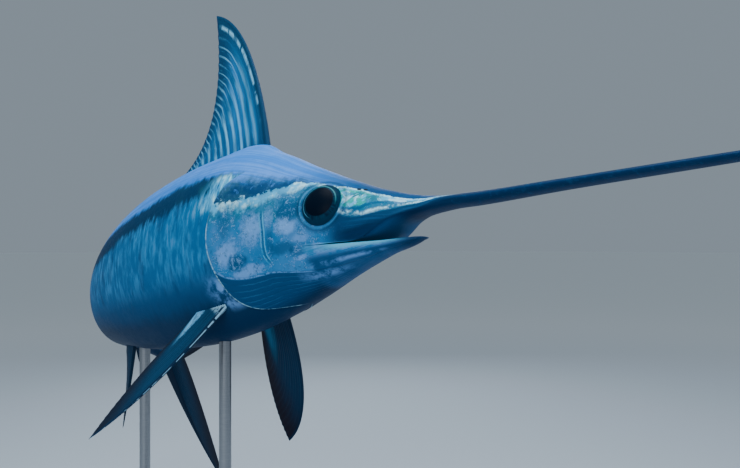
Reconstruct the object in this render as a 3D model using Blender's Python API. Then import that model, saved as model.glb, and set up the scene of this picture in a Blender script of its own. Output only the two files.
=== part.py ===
# Swordfish, life size, as a still display model: the animal on two rods over a flat base.
# Metres, +Z up. The head points along +X with the nose a little raised, and the body swings
# round to the fish's left, so that the tail lies toward +Y. The origin is at the middle of the
# model's footprint, on the floor.

from math import acos, cos, exp, pi, radians, sin, sqrt

import bmesh
import bpy
import numpy as np
from mathutils import Matrix, Vector

# Driving size: the tip of the lower jaw to the fork of the tail, in metres.
# The shares below are shares of this length, counted back from the tip of the jaw.
BODY_LENGTH = 1.75
GAP = 0.0003

# Pose: the head's pitch and roll, and the swing of the spine behind it, in radians
NOSE_UP = radians(6.1)
ROLL = radians(-6.2)
BEND_START = 0.20
BEND_END = 0.98
TURN_LEFT = (0.23, 1.73)
SINK = 0.40

# Lines of the body: share along, top, bottom, half width
LINES = (
    (-0.450, 0.0090, -0.0072, 0.0022),
    (-0.430, 0.0100, -0.0062, 0.0058),
    (-0.300, 0.0119, -0.0041, 0.0105),
    (-0.150, 0.0131, -0.0030, 0.0132),
    (-0.060, 0.0142, -0.0014, 0.0152),
    (-0.030, 0.0155, -0.0010, 0.0164),
    (0.000, 0.0196, 0.0225, 0.0185),
    (0.050, 0.0330, 0.0370, 0.0325),
    (0.100, 0.0520, 0.0545, 0.0453),
    (0.150, 0.0735, 0.0755, 0.0560),
    (0.200, 0.0965, 0.0935, 0.0640),
    (0.250, 0.1105, 0.1070, 0.0690),
    (0.300, 0.1115, 0.1150, 0.0715),
    (0.400, 0.1060, 0.1175, 0.0730),
    (0.500, 0.0970, 0.1080, 0.0705),
    (0.600, 0.0840, 0.0880, 0.0640),
    (0.700, 0.0670, 0.0670, 0.0510),
    (0.800, 0.0470, 0.0470, 0.0350),
    (0.880, 0.0300, 0.0310, 0.0230),
    (0.985, 0.0215, 0.0215, 0.0135),
)

# Mouth: share along, heights of the upper lip, the palate and the lower lip
MOUTH = (
    (-0.450, 0.0081, 0.0072, 0.0),
    (-0.300, 0.0080, 0.0041, 0.0),
    (-0.150, 0.0080, 0.0030, 0.0),
    (-0.060, 0.0075, 0.0012, -0.0200),
    (-0.030, 0.0067, 0.0000, -0.0215),
    (-0.008, 0.0050, -0.0030, -0.0219),
    (0.011, 0.0020, -0.0056, -0.0222),
    (0.029, -0.0035, -0.0100, -0.0230),
    (0.040, -0.0100, -0.0145, -0.0234),
    (0.052, -0.0172, -0.0182, -0.0236),
    (0.062, -0.0208, -0.0196, -0.0237),
    (0.090, -0.0226, -0.0197, -0.0240),
    (0.112, -0.0234, -0.0196, -0.0239),
    (0.130, -0.0240, -0.0195, -0.0245),
)
LIP_BAND = radians(9)
LIP_SWELL = 0.0009
MOUTH_FLOOR = 0.0030

# Gill covers: angle round the body from the back in degrees, share along of the rear edge
GILL_EDGE = ((0, 0.200), (40, 0.205), (60, 0.234), (90, 0.255), (120, 0.243), (150, 0.210),
             (166, 0.176), (180, 0.158))
GILL_STEP = 0.0038
GILL_TOP = (44, 64)
GILL_HINGE = 0.205
GILL_GAP = 0.0005

# Where the body is parted
BILL_ROOT = -0.012
JAW_REAR = 0.1275
TORSO_SPLIT = 0.44
STALK_FRONT = 0.70
STALK_REAR = 0.985

# Rings round the body: steps from back to belly, and the step that is the lip
STEPS = 20
LIP_STEP = 12
JAW_STEPS = 8
JAW_FLOOR_STEPS = 3

# Keel along each side of the tail stalk
KEEL_MIDDLE = 0.935
KEEL_LENGTH = 0.055
KEEL_REACH = 0.0125

# Crest of flesh that the first dorsal fin rises from: where it is highest, how far it reaches
# ahead and behind, its rise, and how wide it is round the body
CREST_AT = 0.231
CREST_AHEAD = 0.017
CREST_BEHIND = 0.060
CREST_RISE = 0.0075
CREST_WIDE = radians(12)

# Eyes: share along, angle from the back, radius of the ball, half depth, how far it is set in
EYE_ALONG = 0.103
EYE_ANGLE = radians(68.2)
EYE_RADIUS = 0.0238
EYE_DEPTH = 0.0130
EYE_SET_IN = 0.0062
NOSTRILS = ((0.0690, radians(34)), (0.0625, radians(31)))
NOSTRIL_SIZE = (0.0026, 0.0017, 0.0022)

# Fins on the middle line. Points are (along, out from the spine); the margin runs from the
# tip past a point that draws it in to the hind end. Bow bends each ray forward, and thick is
# half the fin at its root, half at its margin and how fast it thins between.
DORSAL_FIRST = {"root": ((0.226, 0.100), (0.391, 0.096)),
                "margin": ((0.326, 0.313), (0.306, 0.150), (0.400, 0.1165)),
                "bow": (0.74, 0.22), "thick": (0.0026, 0.0006, 1.3), "rays": 15, "rows": 8,
                "ridge": 0.0016}
ANAL_FIRST = {"root": ((0.590, 0.078), (0.665, 0.062)),
              "margin": ((0.702, 0.197), (0.640, 0.118), (0.678, 0.082)),
              "bow": (0.66, 0.15), "thick": (0.0020, 0.0006, 1.0), "rays": 9, "rows": 6,
              "ridge": 0.0014}
SECOND_PAIR = {"root": ((0.838, 0.0255), (0.872, 0.0180)),
               "margin": ((0.887, 0.0590), (0.880, 0.0450), (0.899, 0.0365)),
               "bow": (0.60, 0.12), "thick": (0.0014, 0.0005, 1.0), "rays": 5, "rows": 4,
               "ridge": 0.0008}
# Caudal fin, one lobe; its innermost ray meets the other lobe's face to face
CAUDAL = {"root": ((0.966, 0.0165), (0.966, 0.0)),
          "margin": ((1.272, 0.207), (1.112, 0.054), (1.035, 0.0)),
          "bow": (0.52, 0.06), "thick": (0.0085, 0.0006, 2.2), "rays": 12, "rows": 7,
          "ridge": 0.0014, "leading_half": 0.0024}

# Pectoral fins, hung from the flank behind the gill covers. Each has its root's front (along,
# angle), its tip (back, out, down), its chord, the point (back, out of the root) that its hind
# margin is drawn toward, and the bow of its rays.
PECTORALS = {
    -1: {"root": (0.2445, radians(139)), "tip": (0.138, 0.090, 0.145), "chord": 0.054,
         "belly": (0.116, 0.090), "bow": (0.60, 0.12)},
    1: {"root": (0.2540, radians(136)), "tip": (0.096, 0.090, 0.169), "chord": 0.050,
        "belly": (0.104, 0.125), "bow": (0.66, 0.25)},
}
PECTORAL_BLADE = {"thick": (0.0028, 0.0006, 1.0), "rays": 12, "rows": 8, "ridge": 0.0016,
                  "sink": 0.012, "hind_end": (1.12, 0.012)}

# Stand
BASE_SIZE = (1.24, 0.62, 0.030)
BASE_CORNER = 0.070
BASE_BEVEL = 0.004
ROD_RADIUS = 0.013
FOOT_RADIUS = 0.038
FOOT_HEIGHT = 0.012
ROD_FRONT = 0.315
ROD_REAR = 0.545
TIP_CLEARANCE = 0.022

ALONG_SPINE = np.arange(-0.50, 1.40, 0.001)


# Smooth curve through the knots of a table column
def smooth(at, knots, values):
    knots, values = np.asarray(knots, float), np.asarray(values, float)
    at = float(np.clip(at, knots[0], knots[-1]))
    slopes = np.gradient(values, knots)
    i = int(np.clip(np.searchsorted(knots, at) - 1, 0, len(knots) - 2))
    width = knots[i + 1] - knots[i]
    t = (at - knots[i]) / width
    start = (2 * t**3 - 3 * t**2 + 1) * values[i] + (t**3 - 2 * t**2 + t) * width * slopes[i]
    end = (3 * t**2 - 2 * t**3) * values[i + 1] + (t**3 - t**2) * width * slopes[i + 1]
    return start + end


def column(table, at, index):
    return smooth(at, [row[0] for row in table], [row[index] for row in table])


def smoothstep(at, low, high):
    t = min(1.0, max(0.0, (at - low) / (high - low)))
    return t * t * (3 - 2 * t)


# Spine: place and directions (forward, left, up) at each share along the body
def spine():
    nose = np.array([cos(NOSE_UP), 0.0, sin(NOSE_UP)])
    level = np.array([0.0, 1.0, 0.0])
    left = level * cos(ROLL) + np.cross(nose, level) * sin(ROLL)
    up = np.cross(nose, left)
    t = np.clip(ALONG_SPINE - BEND_START, 0.0, BEND_END - BEND_START)
    turn = (TURN_LEFT[0] * t + TURN_LEFT[1] * t * t)[:, None]
    dip = (SINK * t)[:, None]
    forward = np.cos(turn) * np.cos(dip) * nose - np.sin(turn) * np.cos(dip) * left + np.sin(dip) * up
    side = np.cos(turn) * left + np.sin(turn) * nose
    above = np.cross(forward, side)
    steps = np.diff(ALONG_SPINE, prepend=ALONG_SPINE[0])[:, None]
    path = -np.cumsum(forward * steps, axis=0)
    jaw_tip = int(np.argmin(np.abs(ALONG_SPINE)))
    return path - path[jaw_tip], forward, side, above


PATH, FORWARD, SIDE, ABOVE = spine()


def on_spine(rows, at):
    return np.array([np.interp(at, ALONG_SPINE, rows[:, axis]) for axis in range(3)])


# Point beside the spine: share along, shares to the left and up
def place(at, left, up):
    point = on_spine(PATH, at) + on_spine(SIDE, at) * left + on_spine(ABOVE, at) * up
    return Vector(point * BODY_LENGTH)


# Point in the straight frame of one place on the spine: shares back, left and up
def place_beside(at, back, left, up):
    point = on_spine(PATH, at) - on_spine(FORWARD, at) * back
    return Vector((point + on_spine(SIDE, at) * left + on_spine(ABOVE, at) * up) * BODY_LENGTH)


# Skin of the body: height and half width at an angle from the back, as (out, up)
def section(at, angle, grow=0.0):
    top, bottom, half = (column(LINES, at, index) + grow for index in (1, 2, 3))
    keel = KEEL_REACH * exp(-((at - KEEL_MIDDLE) / KEEL_LENGTH) ** 4) * exp(-(cos(angle) / 0.13) ** 2)
    reach = CREST_AHEAD if at < CREST_AT else CREST_BEHIND
    crest = CREST_RISE * exp(-((at - CREST_AT) / reach) ** 2 - (angle / CREST_WIDE) ** 2)
    middle, tall = (top - bottom) / 2, (top + bottom) / 2
    return (half + keel) * sin(angle), middle + tall * cos(angle) + crest


def angle_at_height(at, height):
    top, bottom = column(LINES, at, 1), column(LINES, at, 2)
    share = (height - (top - bottom) / 2) / ((top + bottom) / 2)
    return acos(max(-1.0, min(1.0, share)))


def gill_edge(angle):
    return column(GILL_EDGE, angle * 180 / pi, 1)


# Half ring of the upper head and bill, from the back to the lip and across the palate
def snout_half_ring(at):
    lip, palate = column(MOUTH, at, 1), column(MOUTH, at, 2)
    lip_angle = angle_at_height(at, lip)
    fade = 1.0 - smoothstep(at, 0.105, 0.125)
    band = LIP_BAND * smoothstep(at, -0.03, 0.01)
    band = band * fade + (1 - fade) * lip_angle / LIP_STEP
    swell = LIP_SWELL * smoothstep(at, -0.02, 0.02) * fade
    half = [(at, *section(at, (lip_angle - band) * k / (LIP_STEP - 1))) for k in range(LIP_STEP)]
    reach = section(at, lip_angle)[0] + swell
    for k in range(STEPS - LIP_STEP + 1):
        turn = pi / 2 * k / (STEPS - LIP_STEP)
        half.append((at, reach * cos(turn), lip + (palate - lip) * sin(turn)))
    return half


# Half ring of the body, where the share along may change with the angle
def body_half_ring(along, grow=0.0):
    angles = [pi * k / STEPS for k in range(STEPS + 1)]
    return [(along(angle), *section(along(angle), angle, grow)) for angle in angles]


# Half ring of the lower jaw, from its lip round the underside, then across its floor
def jaw_half_ring(at):
    lip = column(MOUTH, at, 3)
    lip_angle = angle_at_height(at, lip)
    swell = LIP_SWELL * smoothstep(at, 0.0, 0.02) * (1.0 - smoothstep(at, 0.105, 0.125))
    reach = section(at, lip_angle)[0] + swell
    band = min(LIP_BAND, (pi - lip_angle) / 2)
    half = []
    for k in range(JAW_FLOOR_STEPS):
        share = k / JAW_FLOOR_STEPS
        half.append((at, reach * share, lip - MOUTH_FLOOR * smoothstep(at, 0.0, 0.03) * (1 - share**2)))
    half.append((at, reach, lip))
    for k in range(JAW_STEPS):
        angle = lip_angle + band + (pi - lip_angle - band) * k / (JAW_STEPS - 1)
        half.append((at, *section(at, angle)))
    return half


# Whole ring from its right half: the fish's right is toward -left
def mirrored(half):
    right = [(at, -out, up) for at, out, up in half]
    left = [(at, out, up) for at, out, up in half[1:-1]]
    return right + left[::-1]


# Closed surface through rings of equal count, each end closed by a fan to its own middle. Its
# faces are split alike on both sides, and in the grown copies that cut other pieces to fit.
def loft(name, rings, front, rear, paint):
    mesh = bmesh.new()
    rows = [[mesh.verts.new(place(*point)) for point in ring] for ring in rings]
    count = len(rings[0])
    for row, following in zip(rows, rows[1:]):
        for k in range(count):
            n = (k + 1) % count
            a, b, c, d = row[k], row[n], following[n], following[k]
            if k >= count // 2:
                a, b, c, d = b, c, d, a
            mesh.faces.new((a, b, c))
            mesh.faces.new((a, c, d))
    for row, middle in ((rows[0], front), (rows[-1], rear)):
        centre = mesh.verts.new(place(*middle))
        for k in range(count):
            mesh.faces.new((row[k], row[(k + 1) % count], centre))
    return finish(name, mesh, paint)


def finish(name, mesh, paint, crease=40):
    bmesh.ops.triangulate(mesh, faces=[face for face in mesh.faces if len(face.verts) > 4])
    bmesh.ops.recalc_face_normals(mesh, faces=mesh.faces)
    data = bpy.data.meshes.new(name)
    mesh.to_mesh(data)
    mesh.free()
    data.shade_smooth()
    data.set_sharp_from_angle(angle=radians(crease))
    data.materials.append(paint)
    shape = bpy.data.objects.new(name, data)
    bpy.context.scene.collection.objects.link(shape)
    return shape


# Paint of a part: colour, roughness and metallic value
def paint(name, colour, roughness, metallic=0.0):
    material = bpy.data.materials.new(name)
    material.use_nodes = True
    shader = material.node_tree.nodes["Principled BSDF"]
    shader.inputs["Base Color"].default_value = (*colour, 1.0)
    shader.inputs["Roughness"].default_value = roughness
    shader.inputs["Metallic"].default_value = metallic
    return material


def hide_cutter(shape):
    shape.hide_render = True
    shape.display_type = "WIRE"
    return shape


def cut(shape, cutter):
    modifier = shape.modifiers.new("cut", "BOOLEAN")
    modifier.operation = "DIFFERENCE"
    modifier.solver = "EXACT"
    modifier.object = cutter


# Stretches of the body as rings, grown by the gap for the pieces that are cut to fit on them
def torso_front_rings(grow=0.0, count=10):
    def stretch(share):
        def along(angle):
            front = gill_edge(angle) + GILL_GAP / BODY_LENGTH
            return front + (TORSO_SPLIT - front) * share
        return along
    return [mirrored(body_half_ring(stretch(k / count), grow)) for k in range(count + 1)]


def straight_rings(front, rear, count, grow=0.0):
    shares = [front + (rear - front) * k / count for k in range(count + 1)]
    return [mirrored(body_half_ring(lambda angle, at=at: at, grow)) for at in shares]


def middle_height(at):
    return (column(LINES, at, 1) - column(LINES, at, 2)) / 2


def middle_of(at):
    return (at, 0.0, middle_height(at))


def make_torso(name, rings, front, rear, paint):
    return loft(name, rings, middle_of(front), middle_of(rear), paint)


def make_bill(paint):
    shares = [-0.45, -0.446, -0.436, -0.41, -0.37, -0.32, -0.26, -0.20, -0.14, -0.09, -0.05, -0.03]
    shares.append(BILL_ROOT - GAP / BODY_LENGTH)
    rings = [mirrored(snout_half_ring(at)) for at in shares]
    front = (shares[0] - 0.001, 0.0, column(MOUTH, shares[0], 1))
    rear = (shares[-1], 0.0, column(MOUTH, shares[-1], 1))
    return loft("bill", rings, front, rear, paint)


# Rear part of the head: the gill covers rise toward their free edge and stand proud of the body
def gill_ring(share, lift):
    half = []
    for k in range(STEPS + 1):
        angle = pi * k / STEPS
        low, high = (radians(value) for value in GILL_TOP)
        rise = GILL_STEP * lift * smoothstep(angle, low, high) * (1 - 0.85 * smoothstep(angle, 2.3, 2.9))
        front = JAW_REAR + 0.0004
        at = front + (gill_edge(angle) - front) * share
        out, up = section(at, angle)
        middle = middle_height(GILL_HINGE)
        grow = 1 + rise / sqrt(out**2 + (up - middle) ** 2)
        if share == 1.0:
            at = GILL_HINGE + (at - GILL_HINGE) * grow
        half.append((at, out * grow, middle + (up - middle) * grow))
    return half


def make_head(paint):
    shares = (BILL_ROOT, 0.0, 0.010, 0.020, 0.032, 0.046, 0.062, 0.078, 0.094, 0.110, JAW_REAR + 0.0002)
    rings = [mirrored(snout_half_ring(at)) for at in shares]
    lifts = (0.0, 0.0, 0.0, 0.05, 0.15, 0.35, 0.60, 0.85, 1.0)
    for k, lift in enumerate(lifts):
        rings.append(mirrored(gill_ring(k / (len(lifts) - 1), lift)))
    front = (BILL_ROOT, 0.0, column(MOUTH, BILL_ROOT, 1))
    head = loft("head", rings, front, (GILL_HINGE, 0.0, middle_height(GILL_HINGE)), paint)
    for side in (-1, 1):
        cut(head, hide_cutter(eye_ball("socket_" + side_name(side), side, GAP, paint)))
        for count, (along, angle) in enumerate(NOSTRILS):
            pit = ellipsoid("nostril_%s_%d" % (side_name(side), count), side, along, angle,
                            [size * BODY_LENGTH for size in NOSTRIL_SIZE], 0.0, (12, 8), paint)
            cut(head, hide_cutter(pit))
    return head


def make_jaw(paint):
    shares = (0.0015, 0.005, 0.012, 0.022, 0.036, 0.052, 0.072, 0.092, 0.110, JAW_REAR)
    rings = [mirrored(jaw_half_ring(at)) for at in shares]
    tip = (0.0, 0.0, (column(MOUTH, 0.0, 3) - column(LINES, 0.0, 2)) / 2)
    low = (column(MOUTH, JAW_REAR, 3) - column(LINES, JAW_REAR, 2)) / 2
    return loft("lower_jaw", rings, tip, (JAW_REAR, 0.0, low), paint)


def side_name(side):
    return "left" if side > 0 else "right"


# Ball set on the skin: its axes lie along the body, round it and out of it
def ellipsoid(name, side, along, angle, radii, set_in, detail, paint):
    out, up = section(along, angle)
    centre = place(along, side * out, up)
    ahead_out, ahead_up = section(along - 0.01, angle)
    below_out, below_up = section(along, angle + 0.02)
    forward = (place(along - 0.01, side * ahead_out, ahead_up) - centre).normalized()
    down = (place(along, side * below_out, below_up) - centre).normalized()
    outward = forward.cross(down).normalized() * side
    down = outward.cross(forward).normalized()
    mesh = bmesh.new()
    bmesh.ops.create_uvsphere(mesh, u_segments=detail[0], v_segments=detail[1], radius=1.0)
    turn = Matrix((forward * radii[0], down * radii[1], outward * radii[2])).transposed().to_4x4()
    turn.translation = centre - outward * set_in
    bmesh.ops.transform(mesh, matrix=turn, verts=mesh.verts)
    return finish(name, mesh, paint)


def eye_ball(name, side, grow, paint):
    wide = EYE_RADIUS * BODY_LENGTH + grow
    deep = EYE_DEPTH * BODY_LENGTH + grow
    return ellipsoid(name, side, EYE_ALONG, EYE_ANGLE, (wide, wide, deep),
                     EYE_SET_IN * BODY_LENGTH, (24, 12), paint)


# Rays that fan from the root line to the margin, each bowed forward from its own straight line.
# Points are (along, out) in the fin's own sheet. Where the last ray is shared, it is straight.
def fan(root, margin, bow, straight_end=False):
    def point(u, v):
        start, end = Vector(root(u)), Vector(margin(u))
        reach = end - start
        side = bow[1] * ((1 - u) if straight_end else 1)
        control = start + reach * bow[0] + Vector((-reach.y, reach.x)) * side
        return start * (1 - v) ** 2 + control * 2 * v * (1 - v) + end * v**2
    return point


# Fin of one closed skin with a ridge on every second column, both faces split alike.
# The sheet puts the fin's points in space. The last ray ends in a wall where the fin goes on
# in another, and in a thin edge otherwise.
def make_fin(name, sheet, point, thick, sizes, paint, wall=False):
    rays, rows = sizes["rays"], sizes["rows"]
    columns = 2 * rays
    mesh = bmesh.new()
    near, far = {}, {}
    for i in range(columns + 1):
        for j in range(rows + 1):
            u, v = i / columns, j / rows
            along, out = point(u, v)
            rim = i == 0 or j == rows or (i == columns and not wall)
            half = thick(u, v) + (sizes["ridge"] * (1 - 0.6 * v) if i % 2 else 0.0)
            near[i, j] = mesh.verts.new(sheet(along, out, 0.0 if rim else half))
            far[i, j] = near[i, j] if rim else mesh.verts.new(sheet(along, out, -half))
    for i in range(columns):
        for j in range(rows):
            corners = [(i, j), (i + 1, j), (i + 1, j + 1), (i, j + 1)]
            if i < rays:
                corners.append(corners.pop(0))
            for side in (near, far):
                a, b, c, d = (side[key] for key in corners)
                mesh.faces.new((a, b, c))
                mesh.faces.new((a, c, d))
        close(mesh, near, far, (i, 0), (i + 1, 0))
    if wall:
        for j in range(rows):
            close(mesh, near, far, (columns, j), (columns, j + 1))
    return finish(name, mesh, paint, crease=60)


# Face between the two sides of a fin, a triangle where they meet at one end
def close(mesh, near, far, here, there):
    ends = (near[here], near[there], far[there], far[here])
    mesh.faces.new(list(dict.fromkeys(ends)))


def bezier(start, control, end):
    def at(t):
        return tuple(a * (1 - t) ** 2 + b * 2 * t * (1 - t) + c * t * t
                     for a, b, c in zip(start, control, end))
    return at


def line(start, end):
    return bezier(start, [(a + b) / 2 for a, b in zip(start, end)], end)


def taper(sizes):
    root_half, tip_half, fade = sizes["thick"]
    leading_half = sizes.get("leading_half", 0.0)

    def thick(u, v):
        half = (root_half * (1 - v) ** fade + tip_half) * (1.15 - 0.6 * u)
        return half + leading_half * (1 - u) * (1 - v)
    return thick


# Fin on the middle line, above the spine or below it; it follows the swing of the spine
def make_middle_fin(name, sizes, sign, paint, body, wall=False):
    def sheet(along, out, half):
        return place(along, half, sign * (out + (GAP / BODY_LENGTH / 2 if wall else 0.0)))

    point = fan(line(*sizes["root"]), bezier(*sizes["margin"]), sizes["bow"], wall)
    fin = make_fin(name, sheet, point, taper(sizes), sizes, paint, wall)
    cut(fin, body)
    return fin


def make_pectoral(side, paint, body):
    sizes = {**PECTORALS[side], **PECTORAL_BLADE}
    along, angle = sizes["root"]
    out, up = section(along, angle)
    back, tip_out, tip_down = sizes["tip"]
    span = sqrt(tip_out**2 + tip_down**2)
    across, downward = tip_out / span, tip_down / span

    def sheet(behind, reach, half):
        left = out + reach * across + half * downward
        height = up - reach * downward + half * across
        return place_beside(along, behind, side * left, height)

    chord, sink, hind = sizes["chord"], sizes["sink"], sizes["hind_end"]
    root = line((0.0, -sink), (chord, -sink))
    margin = bezier((back, span), sizes["belly"], (chord * hind[0], hind[1]))
    point = fan(root, margin, sizes["bow"])
    fin = make_fin("pectoral_fin_" + side_name(side), sheet, point, taper(sizes), sizes, paint)
    cut(fin, body)
    return fin


# Lowest and widest reach of shapes, as the viewport shows them
def bounds(shapes):
    graph = bpy.context.evaluated_depsgraph_get()
    points = []
    for shape in shapes:
        data = shape.evaluated_get(graph).to_mesh()
        points += [shape.matrix_world @ vertex.co for vertex in data.vertices]
    low = Vector([min(point[axis] for point in points) for axis in range(3)])
    high = Vector([max(point[axis] for point in points) for axis in range(3)])
    return low, high


# Rod: a foot, a shaft and an end that is cut to lie under the belly
def make_rod(name, along, base_top, paint, body):
    foot = place(along, 0.0, -column(LINES, along, 2))
    height = foot.z + 0.02 - base_top
    profile = ((0.0, 0.0), (FOOT_RADIUS, 0.0), (FOOT_RADIUS, FOOT_HEIGHT * 0.6),
               (FOOT_RADIUS - 0.004, FOOT_HEIGHT), (ROD_RADIUS, FOOT_HEIGHT), (ROD_RADIUS, height),
               (0.0, height))
    mesh = bmesh.new()
    points = [mesh.verts.new((foot.x + out, foot.y, base_top + GAP + up)) for out, up in profile]
    edges = [mesh.edges.new(pair) for pair in zip(points, points[1:])]
    bmesh.ops.spin(mesh, geom=points + edges, cent=(foot.x, foot.y, 0.0), axis=(0, 0, 1),
                   angle=2 * pi, steps=24, use_duplicate=False)
    bmesh.ops.remove_doubles(mesh, verts=mesh.verts, dist=1e-6)
    rod = finish(name, mesh, paint, crease=35)
    cut(rod, body)
    return rod


def make_base(top, paint):
    front = place(ROD_FRONT, 0.0, 0.0)
    rear = place(ROD_REAR, 0.0, 0.0)
    mesh = bmesh.new()
    bmesh.ops.create_cube(mesh, size=1.0)
    bmesh.ops.scale(mesh, vec=BASE_SIZE, verts=mesh.verts)
    upright = [edge for edge in mesh.edges
               if abs(edge.verts[0].co.z - edge.verts[1].co.z) > BASE_SIZE[2] / 2]
    bmesh.ops.bevel(mesh, geom=upright, offset=BASE_CORNER, segments=8, profile=0.5,
                    affect="EDGES", clamp_overlap=True)
    rim = [edge for edge in mesh.edges if min(vertex.co.z for vertex in edge.verts) > 0]
    bmesh.ops.bevel(mesh, geom=rim, offset=BASE_BEVEL, segments=2, profile=0.5,
                    affect="EDGES", clamp_overlap=True)
    middle = (front + rear) / 2
    bmesh.ops.translate(mesh, vec=(middle.x, middle.y, top - BASE_SIZE[2] / 2), verts=mesh.verts)
    return finish("stand_base", mesh, paint, crease=35)


def main():
    for shape in list(bpy.data.objects):
        bpy.data.objects.remove(shape)
    blue = paint("flank_blue", (0.030, 0.085, 0.150), 0.35, 0.25)
    dark = paint("fin_dark", (0.006, 0.020, 0.040), 0.45)
    bill_blue = paint("bill_blue_grey", (0.016, 0.045, 0.090), 0.40, 0.1)
    eye_dark = paint("eye_dark", (0.004, 0.008, 0.012), 0.08)
    base_paint = paint("stand_charcoal", (0.030, 0.032, 0.036), 0.5)
    steel = paint("rod_steel", (0.55, 0.56, 0.58), 0.3, 1.0)

    grown = GAP / BODY_LENGTH
    front_cutter = hide_cutter(make_torso("torso_front_grown", torso_front_rings(grown),
                                          GILL_HINGE, TORSO_SPLIT, blue))
    rear_cutter = hide_cutter(make_torso("torso_rear_grown",
                                         straight_rings(TORSO_SPLIT, STALK_FRONT, 9, grown),
                                         TORSO_SPLIT, STALK_FRONT, blue))
    stalk_end = STALK_REAR + grown
    stalk_cutter = hide_cutter(make_torso("stalk_grown",
                                          straight_rings(STALK_FRONT, stalk_end, 11, grown),
                                          STALK_FRONT, stalk_end, blue))

    fish = [make_bill(bill_blue), make_head(blue), make_jaw(blue)]
    fish += [eye_ball("eye_" + side_name(side), side, 0.0, eye_dark) for side in (-1, 1)]
    hinge = GILL_HINGE + GILL_GAP / BODY_LENGTH
    fish.append(make_torso("torso_front", torso_front_rings(), hinge, TORSO_SPLIT, blue))
    split, stalk = TORSO_SPLIT + grown, STALK_FRONT + grown
    fish.append(make_torso("torso_rear", straight_rings(split, STALK_FRONT, 9), split,
                           STALK_FRONT, blue))
    fish.append(make_torso("tail_stalk", straight_rings(stalk, STALK_REAR, 11), stalk,
                           STALK_REAR, blue))
    fish.append(make_middle_fin("dorsal_fin_first", DORSAL_FIRST, 1, dark, front_cutter))
    fish.append(make_middle_fin("anal_fin_first", ANAL_FIRST, -1, dark, rear_cutter))
    for name, sign in (("upper", 1), ("lower", -1)):
        kind = "dorsal" if sign > 0 else "anal"
        fish.append(make_middle_fin(kind + "_fin_second", SECOND_PAIR, sign, dark, stalk_cutter))
        fish.append(make_middle_fin("caudal_lobe_" + name, CAUDAL, sign, dark, stalk_cutter, True))
    fish += [make_pectoral(side, dark, front_cutter) for side in (-1, 1)]

    lowest = bounds(fish)[0].z
    base_top = lowest - TIP_CLEARANCE
    stand = [make_base(base_top, base_paint),
             make_rod("stand_rod_front", ROD_FRONT, base_top, steel, front_cutter),
             make_rod("stand_rod_rear", ROD_REAR, base_top, steel, rear_cutter)]

    low, high = bounds(fish + stand)
    model = bpy.data.objects.new("swordfish_model", None)
    bpy.context.scene.collection.objects.link(model)
    model.location = (-(low.x + high.x) / 2, -(low.y + high.y) / 2, -low.z)
    for shape in bpy.data.objects:
        if shape is not model:
            shape.parent = model


main()
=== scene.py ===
from math import pi, radians, sqrt

import bpy
import numpy as np
from mathutils import Matrix, Vector


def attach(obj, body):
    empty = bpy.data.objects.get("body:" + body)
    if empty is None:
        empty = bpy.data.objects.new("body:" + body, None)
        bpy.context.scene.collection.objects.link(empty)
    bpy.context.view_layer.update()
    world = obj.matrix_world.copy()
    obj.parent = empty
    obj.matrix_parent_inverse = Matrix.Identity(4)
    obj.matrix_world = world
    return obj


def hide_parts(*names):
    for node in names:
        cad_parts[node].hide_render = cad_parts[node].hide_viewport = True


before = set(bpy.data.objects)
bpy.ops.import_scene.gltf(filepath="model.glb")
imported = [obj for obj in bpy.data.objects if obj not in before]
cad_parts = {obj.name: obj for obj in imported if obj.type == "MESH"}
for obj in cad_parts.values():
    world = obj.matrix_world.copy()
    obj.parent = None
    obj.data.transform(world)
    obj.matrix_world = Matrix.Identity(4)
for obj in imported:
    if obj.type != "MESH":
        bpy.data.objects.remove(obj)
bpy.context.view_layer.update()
print("frame loaded")

# How the whole fish lies: lengths are shares of fishLength, counted back from the jaw's tip
pose = {
    "fishLength": 1.75,
    "jawTip": (0.441139, -0.400865, 1.023187),
    "noseUp": 6.1,
    "roll": -6.2,
    "bendFrom": 0.20,
    "bendTo": 0.98,
    "turnLeft": (0.23, 1.73),
    "sink": 0.40,
}
fishLength = pose["fishLength"]


def deselectAll():
    if bpy.context.object and bpy.context.object.mode != "OBJECT":
        bpy.ops.object.mode_set(mode="OBJECT")
    bpy.ops.object.select_all(action="DESELECT")


def curveThrough(points, column=1):      # smooth curve through rows of a table
    knots = np.array([row[0] for row in points], float)
    values = np.array([row[column] for row in points], float)
    slopes = np.gradient(values, knots)

    def at(x):
        x = np.clip(x, knots[0], knots[-1])
        i = np.clip(np.searchsorted(knots, x) - 1, 0, len(knots) - 2)
        width = knots[i + 1] - knots[i]
        t = (x - knots[i]) / width
        first = (2 * t**3 - 3 * t**2 + 1) * values[i] + (t**3 - 2 * t**2 + t) * width * slopes[i]
        second = (3 * t**2 - 2 * t**3) * values[i + 1] + (t**3 - t**2) * width * slopes[i + 1]
        return first + second
    return at


def easeBetween(x, low, high):
    t = np.clip((np.asarray(x, float) - low) / (high - low), 0.0, 1.0)
    return t * t * (3 - 2 * t)


def bump(x, centre, width):      # smooth hill of height 1
    return np.exp(-((x - centre) / width) ** 2)


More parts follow.
